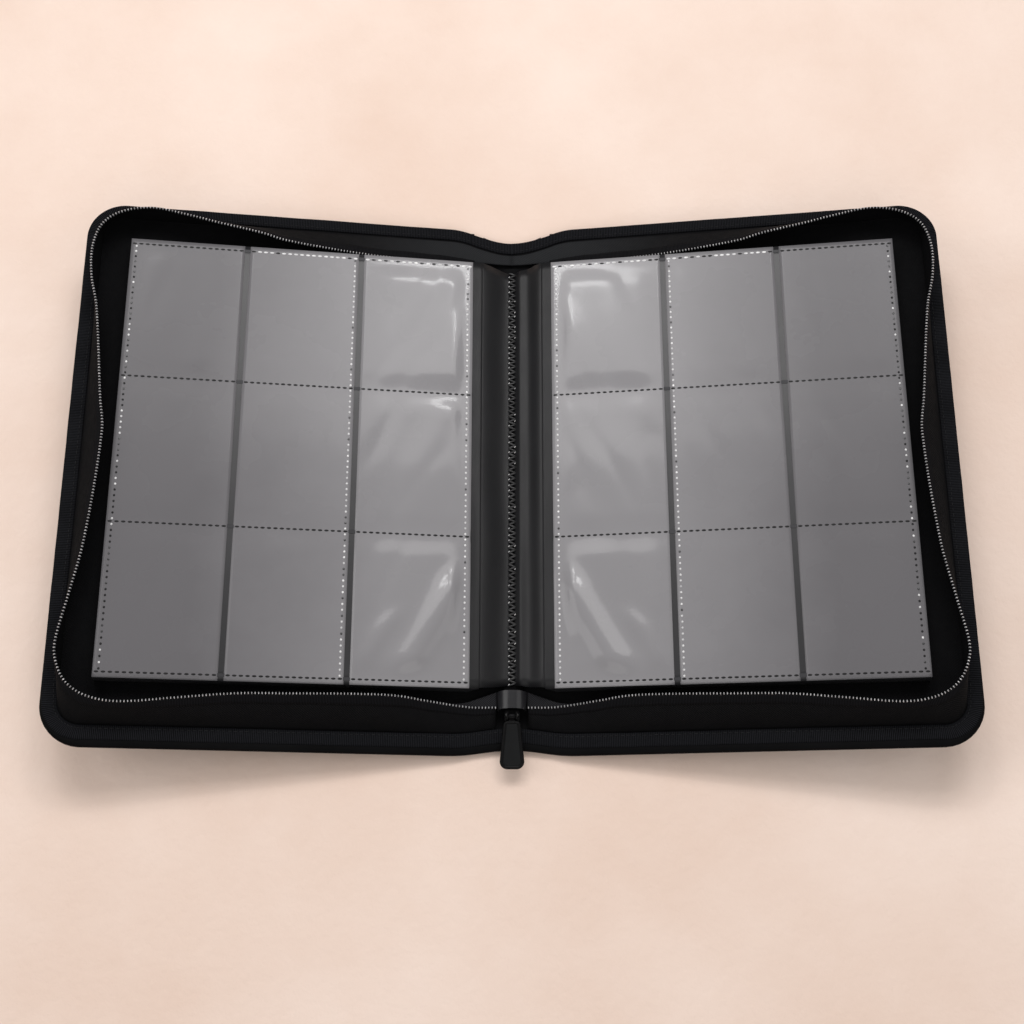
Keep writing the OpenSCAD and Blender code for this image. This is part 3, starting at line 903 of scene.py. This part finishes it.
def binding_stitches(side):
    """Stitches that hold the tape down, near its inner edge."""
    solids = Solids()
    rng = random.Random(5 + side_sign(side))
    for s in spaced(3, EDGE_L - 3, 3.4):
        outer, inner = tape_insets(s)
        inset = mix(outer, inner, 0.76) + rng.uniform(-0.15, 0.15)
        a0, y0 = edge(s - 1.15, inset)
        a1, y1 = edge(s + 1.15, inset)
        start, end = on_book(side, a0, y0, TAPE_TOP), on_book(side, a1, y1, TAPE_TOP)
        solids.ring_solid(capsule_rings(start, end, Vector((0, 0, 1)), 0.24, 0.12))
    obj = solids.build(f"{cover_name(side)}_binding_stitches", BLACK_THREAD)
    hinge_blend(obj)


# ---- gusset and zip ----

def zip_place(s):
    return spline(ZIP_LINE, s)


def wall(s, v):
    """The gusset's profile at s: v runs from the seam up to the zip. Gives a, y, w."""
    groove = 1.3 * smooth((s - EDGE_L + STRAIGHT + 20) / 60)
    base_a, base_y = edge(s, tape_insets(s)[1] + TAPE_CLEAR + groove)
    top_a, top_y, top_w = zip_place(s)
    base_w = LINING_W + 0.4
    mid_a, mid_y = mix(base_a, top_a, 0.3), mix(base_y, top_y, 0.3)
    mid_w = mix(base_w, top_w, 0.62)
    f0, f1, f2 = (1 - v) ** 2, 2 * v * (1 - v), v * v
    belly = math.sin(math.pi * v)
    fold = 0.9 * belly * noise.noise(Vector((s * 0.045, v * 0.8, 5.1)))
    fold += 0.5 * belly * noise.noise(Vector((s * 0.13, v * 1.5, 9.4)))
    return (
        f0 * base_a + f1 * mid_a + f2 * top_a,
        f0 * base_y + f1 * mid_y + f2 * top_y + fold,
        f0 * base_w + f1 * mid_w + f2 * top_w + fold * 0.4,
    )


def wall_rows(side, stations, v_low, v_high, steps, offset):
    """Rings round the gusset cloth, offset to each side of its middle surface."""
    def line(s):
        return [on_book(side, *wall(s, mix(v_low, v_high, k / steps))) for k in range(steps + 1)]

    rings = []
    for s in stations:
        points, ahead, behind = line(s), line(min(s + 1, EDGE_L)), line(max(s - 1, 0))
        outer, inner = [], []
        for k, p in enumerate(points):
            up = points[min(k + 1, steps)] - points[max(k - 1, 0)]
            normal = (ahead[k] - behind[k]).cross(up).normalized()
            outer.append(p + normal * offset)
            inner.append(p - normal * offset)
        rings.append(outer + list(reversed(inner)))
    return rings


def gusset(side):
    name = cover_name(side)
    stations = spaced(10, EDGE_L, 3)
    obj = loft(f"{name}_gusset_cloth", wall_rows(side, stations, 0, 0.84, 12, 0.35), GUSSET)
    hinge_blend(obj)
    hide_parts(f"{name}_gusset", "spine_gusset_head")


def zip_tape(side):
    name = cover_name(side)
    stations = spaced(10, TEETH_END + 30, 3)
    obj = loft(f"{name}_zip_tape", wall_rows(side, stations, 0.76, 1.0, 4, 0.55), ZIP_TAPE)
    hinge_blend(obj)


def teeth(side):
    """The coil, one small bar for each tooth, standing on the zip tape's edge."""
    name = cover_name(side)
    solids = Solids()
    s = ZIP_LINE[0][0] + 1.0
    last = None
    while s < TEETH_END:
        here = on_book(side, *zip_place(s))
        if last is None or (here - last).length >= TOOTH_PITCH:
            last = here
            nxt = on_book(side, *zip_place(s + 0.5))
            along = (nxt - here).normalized()
            up = Vector((0, 0, 1))
            across = along.cross(up).normalized()
            up = across.cross(along).normalized()
            rings = []
            for t, half_l, lift in TOOTH_SHAPE:
                centre = here + across * t
                rings.append([
                    centre + along * half_l - up * 0.3, centre + along * half_l + up * (lift - 0.25),
                    centre + along * half_l * 0.45 + up * lift, centre - along * half_l * 0.45 + up * lift,
                    centre - along * half_l + up * (lift - 0.25), centre - along * half_l - up * 0.3,
                ])
            solids.ring_solid(rings)
        s += 0.05
    obj = solids.build(f"{name}_coil_teeth", TEETH, smooth_shade=False)
    hinge_blend(obj)
    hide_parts(f"{name}_zip_teeth")


# ---- pages ----

def film_height(side, column, u, y):
    """Height of the film over the sheet: pressed down at the welds, puffed up between."""
    low, high = columns()[column]
    weld = (low + WELD_INSET, low + WELD_INSET - 1, high - WELD_INSET)[column]
    rise = (1.1, 0.3, 0.3)[column]
    across = smooth(abs(u - weld) / 10)
    open_edge = high if column < 2 else low
    sag = smooth(abs(u - open_edge) / 16)
    along = min(smooth(abs(y - r) / 15) for r in row_lines())
    seed = 4.0 * column + 11 * (side_sign(side) + 1)
    wave = noise.noise(Vector((u * 0.021, y * 0.017, seed)))
    crease = noise.noise(Vector((u * 0.05 + y * 0.02, y * 0.012 - u * 0.01, seed + 2.5)))
    puff = rise * (0.5 + 0.6 * wave + 0.7 * abs(crease))
    if column == 0:
        from_ridge = (u - 20) * 0.87 + (y + 85) * 0.493
        puff += 3.4 * smooth((-y - 58) / 24) * math.exp(-(from_ridge / 9) ** 2)
        puff += 1.4 * smooth((-y - 90) / 20) * math.exp(-((from_ridge - 24) / 6) ** 2)
    return 0.12 + max(0.0, puff) * across * along * (0.4 + 0.6 * sag)


def film(side):
    parts = []
    half = PAGE_H / 2
    for c, (low, high) in enumerate(columns()):
        rows = []
        for y in spaced(-half, half, 2.6):
            row = []
            for u in spaced(low, high, 2.4):
                top = film_height(side, c, u, y)
                row.append(on_leaves(side, u, y, SHEET_TOP + top))
            rows.append(row)
        up = page_up(side)
        parts.append(shell(f"{side}_film_{c}", rows, 0.12, up, FILM))
    obj = join(f"{side}_pocket_film", parts)
    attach(obj, f"{side}_leaf_01")
    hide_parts(f"{side}_page_film")


def weld_marks(side):
    """Round marks up the page and short dashes across it; the pale ones are painted highlights."""
    light, dark, grey = Solids(), Solids(), Solids()
    rng = random.Random(17 + side_sign(side))
    up = page_up(side)
    half = PAGE_H / 2

    def mark(solids, u, y, half_u, half_y, height):
        base = on_leaves(side, u, y, SHEET_TOP + 0.1)
        out = on_leaves(side, u + 1, y, 0) - on_leaves(side, u, y, 0)
        rings = []
        for share, lift in ((1.0, 0.0), (0.95, height * 0.7), (0.6, height)):
            rings.append([
                base + out * half_u * share * math.cos(q)
                + Vector((0, half_y * share * math.sin(q), 0)) + up * lift
                for q in turn(8)
            ])
        solids.ring_solid(rings)

    for line, u in enumerate(weld_lines()):
        for y in spaced(-half + WELD_INSET + 1.8, half - WELD_INSET - 1.8, DOT_PITCH):
            # Painted highlights: most dots on the inner lines are pale, most on the outer edge dark or grey
            shine = rng.random()
            if line == 2:
                solids = light if shine < 0.2 else (grey if shine < 0.6 else dark)
            else:
                solids = grey if shine < 0.12 else light
            mark(solids, u, y, 0.72, 0.78, 0.22)
    for i, y in enumerate(row_lines()):
        for c, (low, high) in enumerate(columns()):
            for u in spaced(low + 2.2, high - 2.2, DASH_PITCH):
                # Painted highlight: pale dashes on the top row of the two columns nearest the spine
                solids = light if i == 3 and c < 2 and rng.random() < 0.75 else dark
                mark(solids, u, y, 1.42, 0.68, 0.14)
    kinds = ((light, HIGHLIGHT_PAINT, "painted_highlight"), (grey, WELD_GREY, "grey"), (dark, WELD_DARK, "dark"))
    for solids, mat, word in kinds:
        obj = solids.build(f"{side}_{word}_welds", mat)
        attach(obj, f"{side}_leaf_01")
        if word == "dark":
            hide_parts(f"{side}_page_welds")


def bridges(side):
    """Short film bridges that cross the slots at the row lines."""
    solids = Solids()
    for r in row_lines():
        for c in (1, 2):
            u = GUTTER_W + c * POCKET_W
            rings = []
            for du in (-SLOT_W / 2 - 0.3, SLOT_W / 2 + 0.3):
                rings.append([
                    on_leaves(side, u + du, r + dy, SHEET_TOP + w)
                    for dy, w in ((-1.2, 0.02), (1.2, 0.02), (1.0, 0.2), (-1.0, 0.2))
                ])
            solids.ring_solid(rings)
    obj = solids.build(f"{side}_film_bridges", SHEET, smooth_shade=False)
    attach(obj, f"{side}_leaf_01")


def leaf_axis_u():
    """Where the top leaf's turning axis lies, measured along the leaf."""
    dx, dz = LEAF_AXIS[0] - FOLD_X, LEAF_AXIS[2] - FOLD_Z
    return dx * math.cos(TILT) + dz * math.sin(TILT)


def top_sheet(side):
    """The top leaf's dark backing sheet, out to the page's edge."""
    half = PAGE_H / 2
    rows = []
    up = page_up(side)
    for u in spaced(leaf_axis_u() + 0.6, PAGE_END + 0.2, 3):
        row = []
        for y in spaced(-half, half, 6):
            row.append(on_leaves(side, u, y, SHEET_TOP - 1.3 * (1 - smooth((u - 2) / 6))))
        rows.append(row)
    obj = shell(f"{side}_backing_sheet", rows, 0.3, up, PAGE)
    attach(obj, f"{side}_leaf_01")
    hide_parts(f"{side}_leaf_01")


def gutter_strip(side):
    """The plain strip from the page down into the stitched fold, split where the top leaf turns."""
    half = PAGE_H / 2
    sign = side_sign(side)
    end = on_leaves(side, GUTTER_W + 0.4, 0, SHEET_TOP + 0.06)
    x1, z1 = abs(end.x), end.z
    x0, z0 = 1.6, FOLD_TOP + 0.1
    split = (LEAF_AXIS[0] + 0.3 - x0) / (x1 - x0)

    def place(t, y):
        head = smooth((y - half + 30) / 30)
        foot = smooth((-y - half + 22) / 22)
        drop = (4.2 * head - 3.5 * foot) * (1 - t) ** 1.5
        wander = noise.noise(Vector((y * 0.02, sign, 0.4)))
        if side == "left":
            rise = smooth(t * 1.15) + 0.07 * math.sin(math.pi * t)
        else:
            rise = 0.36 * smooth(t / 0.16) + 0.64 * smooth((t - 0.3) / 0.42)
        swell = 0.8 * wander * math.sin(math.pi * t) * (1 - 0.5 * head)
        return Vector((sign * mix(x0, x1, t), y - drop + BOOK_Y + PAGE_Y, mix(z0, z1, rise) + swell))

    for word, low, high, steps in (("inner", 0, split, 20), ("outer", split - 0.003, 1, 8)):
        rows = [[place(mix(low, high, k / steps), y) for y in spaced(-half, half, 6)]
                for k in range(steps + 1)]
        obj = shell(f"{side}_gutter_{word}_strip", rows, 0.3, Vector((0, 0, 1)), GUTTER)
        if word == "inner":
            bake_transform(obj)
        else:
            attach(obj, f"{side}_leaf_01")


def fold_strip():
    """The sewn fold of the leaves, rounded over."""
    half = PAGE_H / 2
    rings = []
    for y in spaced(-half, half, 6):
        ring = []
        for k in range(13):
            q = math.pi * k / 12
            ring.append(Vector((FOLD_HALF_W * math.cos(q), y + BOOK_Y + PAGE_Y,
                                HINGE_Z + LINING_W + (FOLD_TOP - HINGE_Z - LINING_W) * math.sin(q) ** 0.8)))
        rings.append(ring)
    obj = loft("sewn_page_fold", rings, LINING)
    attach(obj, "spine")
    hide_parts("page_fold")


def zigzag():
    """Zigzag stitches down the fold, each a little different from the next."""
    dark, glint = Solids(), Solids()
    rng = random.Random(41)
    half = PAGE_H / 2 - 3
    up = Vector((0, 0, 1))
    pitch = 3.7
    z = FOLD_TOP + 0.45
    y = -half
    while y < half - pitch:
        for x0, x1, dy in ((-2.5, 2.5, 0.0), (2.5, -2.5, pitch / 2)):
            start = Vector((x0 + rng.uniform(-0.3, 0.3), y + dy + BOOK_Y + PAGE_Y, z))
            end = Vector((x1 + rng.uniform(-0.3, 0.3), y + dy + pitch / 2 + BOOK_Y + PAGE_Y, z))
            radius = 0.6 * rng.uniform(0.85, 1.1)
            dark.ring_solid(capsule_rings(start, end, up, radius, 0.35))
        # Painted highlights: short pale pieces laid on the thread as glints
        for x, chance in ((-1.9, 0.75), (1.9, 0.35)):
            if rng.random() < chance:
                start = Vector((x - 0.45, y + rng.uniform(0, 0.8) + BOOK_Y + PAGE_Y, z + 0.5))
                end = start + Vector((0.9, rng.uniform(0.5, 1.1), 0.1))
                glint.ring_solid(capsule_rings(start, end, up, 0.26, 0.1))
        y += pitch
    obj = dark.build("zigzag_stitching", THREAD)
    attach(obj, "spine")
    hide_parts("fold_stitching")
    obj = glint.build("zigzag_glints", HIGHLIGHT_PAINT)
    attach(obj, "spine")


# ---- foot of the spine ----

def gores():
    """Twill gores that fall from the zip to the fold on both sides of the end cap."""
    page_foot = PAGE_Y - PAGE_H / 2
    for side in ("left", "right"):
        rows = []
        for a in spaced(9.3, GORE_END, 1.5):
            row = []
            zip_y, zip_w = zip_place(a)[1:]
            out = smooth((a - 9) / (GORE_END - 9)) ** 0.6
            back_y = mix(page_foot - 0.8, zip_y + 0.6, out)
            back_w = mix(7.6, zip_w - 2.2, out)
            for k in range(11):
                t = k / 10
                fold = 0.7 * math.sin(math.pi * t) * math.sin(a * 0.42 + t * 2.4)
                sag = 1.1 * math.sin(math.pi * t) * (1 - out)
                w = mix(zip_w - 0.4, back_w, t) - sag + 0.5 * fold
                row.append(on_book(side, a, mix(zip_y, back_y, t), w))
            rows.append(row)
        obj = shell(f"{cover_name(side)}_foot_gore", rows, 0.5, Vector((0, 0, 1)), GORE)
        hinge_blend(obj)
        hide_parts("spine_gusset_foot")


def slider_posts():
    """The two rounded posts that hold the slider's bridge, one on each side of the pull's eye."""
    solids = Solids()
    low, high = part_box("zip_slider_body")
    top = high.z / MM
    y = (low.y * 0.45 + high.y * 0.55) / MM
    for x in (-POST_X, POST_X):
        rings = []
        for r, z in ((0.95, top - 1.2), (1.0, top + 0.7), (0.85, top + 1.1), (0.45, top + 1.35)):
            rings.append([Vector((x + r * math.cos(q), y + 1.25 * r * math.sin(q), z))
                          for q in turn(20)])
        solids.ring_solid(rings)
    obj = solids.build("slider_posts", POSTS)
    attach(obj, "zip_slider")


def pull():
    """The moulded pull: a tapering grip with a raised bevelled border round a flat panel."""
    pin = Vector([v / MM for v in JOINTS["zip_pull_hinge"]["pos_m"]])
    slope = math.radians(10)
    box_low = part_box("zip_pull")[0].y / MM
    length = (pin.y - box_low) / math.cos(slope) - 0.35
    outward = Vector((0, -math.cos(slope), -math.sin(slope)))
    up = Vector((0, -math.sin(slope), math.cos(slope)))
    across = Vector((1, 0, 0))
    half_t = 1.5

    def outline(inset):
        """Points round the grip: distance out from the pin and distance across."""
        neck, tip = 5.3 - inset, 7.4 - inset
        start, end = 2.6 + inset, length - inset
        tip_r, neck_r = max(0.8, 4.6 - inset), max(0.5, 2.6 - inset)
        points = []
        for k in range(9):
            q = math.pi / 2 * k / 8
            points.append((end - tip_r + tip_r * math.cos(q), tip - tip_r + tip_r * math.sin(q)))
        for k in range(6):
            q = math.pi / 2 * k / 5
            points.append((start + neck_r - neck_r * math.sin(q), neck - neck_r + neck_r * math.cos(q)))
        return points + [(d, -x) for d, x in reversed(points)]

    def ring(inset, height):
        return [pin + outward * d + across * x + up * height for d, x in outline(inset)]

    def turned(radii, place):
        """A solid of rings, each given as its place along, half width and half height."""
        solids = Solids()
        solids.ring_solid([[place(d, w * math.cos(q), h * math.sin(q))
                            for q in turn(20)] for d, w, h in radii])
        return solids

    grip = Solids()
    grip.ring_solid([ring(i, h) for i, h in (
        (1.2, -half_t), (0.35, -half_t + 0.25), (0, -half_t + 0.9), (0, half_t - 0.9), (0.3, half_t - 0.3),
        (0.8, half_t), (1.4, half_t), (1.75, half_t - 0.2), (2.0, half_t - 0.45))])
    panel = Solids()
    panel.ring_solid([ring(i, half_t + h) for i, h in (
        (2.0, -0.6), (2.05, -0.34), (2.4, -0.28), (4.0, -0.25))])
    eye = turned([(-2.0, 1.7, 1.7), (-1.6, 2, 2), (1.6, 2, 2), (2.0, 1.7, 1.7)],
                 lambda d, w, h: pin + across * d + outward * w + up * h)
    neck = turned([(0.8, 1.9, 1.0), (2.0, 2.0, 0.9), (3.4, 2.8, 1.0), (4.6, 3.6, 1.1)],
                  lambda d, w, h: pin + outward * d + across * w + up * h)
    obj = join("moulded_pull", [
        grip.build("pull_grip", PULL), panel.build("pull_panel", PULL_PANEL),
        eye.build("pull_eye", SLIDER), neck.build("pull_neck", SLIDER),
    ])
    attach(obj, "zip_pull")
    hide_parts("zip_pull")


# ---- CAD nodes that stay ----

def dress(node, mat, bevel=0.0):
    obj = frame["nodes"][node]
    obj.data.materials.clear()
    obj.data.materials.append(mat)
    if bevel:
        mod = obj.modifiers.new("bevel", "BEVEL")
        mod.width = bevel * MM
        mod.segments = 3
        mod.limit_method = "ANGLE"


def dress_nodes():
    foam, board = foam_material(), board_material()
    for part in ("spine", "front_cover", "back_cover"):
        dress(f"{part}_foam", foam)
        dress(f"{part}_board", board)
    dress("zip_end_cap", CAP, 0.4)
    dress("zip_slider_body", SLIDER, 0.3)
    dress("zip_slider_bridge", SLIDER, 0.25)
    for side in ("left", "right"):
        for n in range(2, 11):
            dress(f"{side}_leaf_{n:02d}", PAGE, 0.12)


make_camera()
make_floor()
make_lights()
for side in ("left", "right"):
    skin(side)
    skin_stitches(side)
    lining(side)
    binding(side)
    binding_stitches(side)
    gusset(side)
    zip_tape(side)
    teeth(side)
    film(side)
    weld_marks(side)
    bridges(side)
    top_sheet(side)
    gutter_strip(side)
fold_strip()
zigzag()
gores()
slider_posts()
pull()
dress_nodes()
